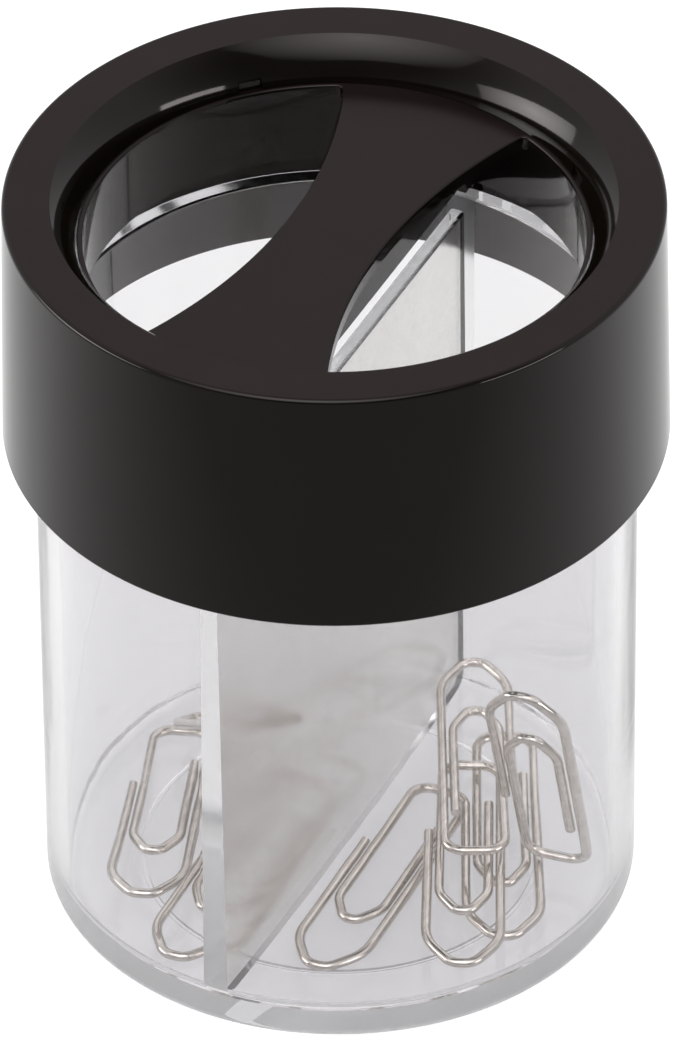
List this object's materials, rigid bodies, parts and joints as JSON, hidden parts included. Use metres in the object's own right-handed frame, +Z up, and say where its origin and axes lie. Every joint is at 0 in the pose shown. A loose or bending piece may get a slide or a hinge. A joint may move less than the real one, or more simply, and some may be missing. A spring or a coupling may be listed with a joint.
{
  "type": "magnetic paper clip holder",
  "caption": "Round clear desk cup with a dividing wall and loose wire clips, under a lift-off black lid with a funnel mouth, a bridge on a web and a hidden ring magnet.",
  "frame": {"origin": "centre of the cup's underside, on the surface that it stands on", "axes": "+Z up through the mouth, +Y along the dividing wall and the bridge, +X across them"},
  "size_m": [0.067, 0.067, 0.0835],
  "materials": {
    "clear_plastic": "clear polished polystyrene",
    "black_plastic": "black plastic, glossy funnel and skirt, satin ring top",
    "ferrite": "dark brown-black bonded ferrite",
    "nickel_wire": "bright plated steel wire"
  },
  "bodies": {
    "cup": {"cup": "clear_plastic", "paper_clip_1": "nickel_wire", "paper_clip_2": "nickel_wire", "paper_clip_3": "nickel_wire", "paper_clip_4": "nickel_wire", "paper_clip_5": "nickel_wire", "paper_clip_6": "nickel_wire", "paper_clip_7": "nickel_wire", "paper_clip_8": "nickel_wire"},
    "magnet": {"magnet_ring": "ferrite"},
    "lid": {"lid_shell": "black_plastic", "mouth_insert": "black_plastic"}
  },
  "joints": [
    {"name": "lid_lift", "type": "slide", "parent": "cup", "child": "magnet", "axis": [0, 0, 1], "range_m": [0, 0.04]},
    {"name": "lid_turn", "type": "hinge", "parent": "magnet", "child": "lid", "pos_m": [0, 0, 0.075], "axis": [0, 0, 1], "continuous": true}
  ]
}
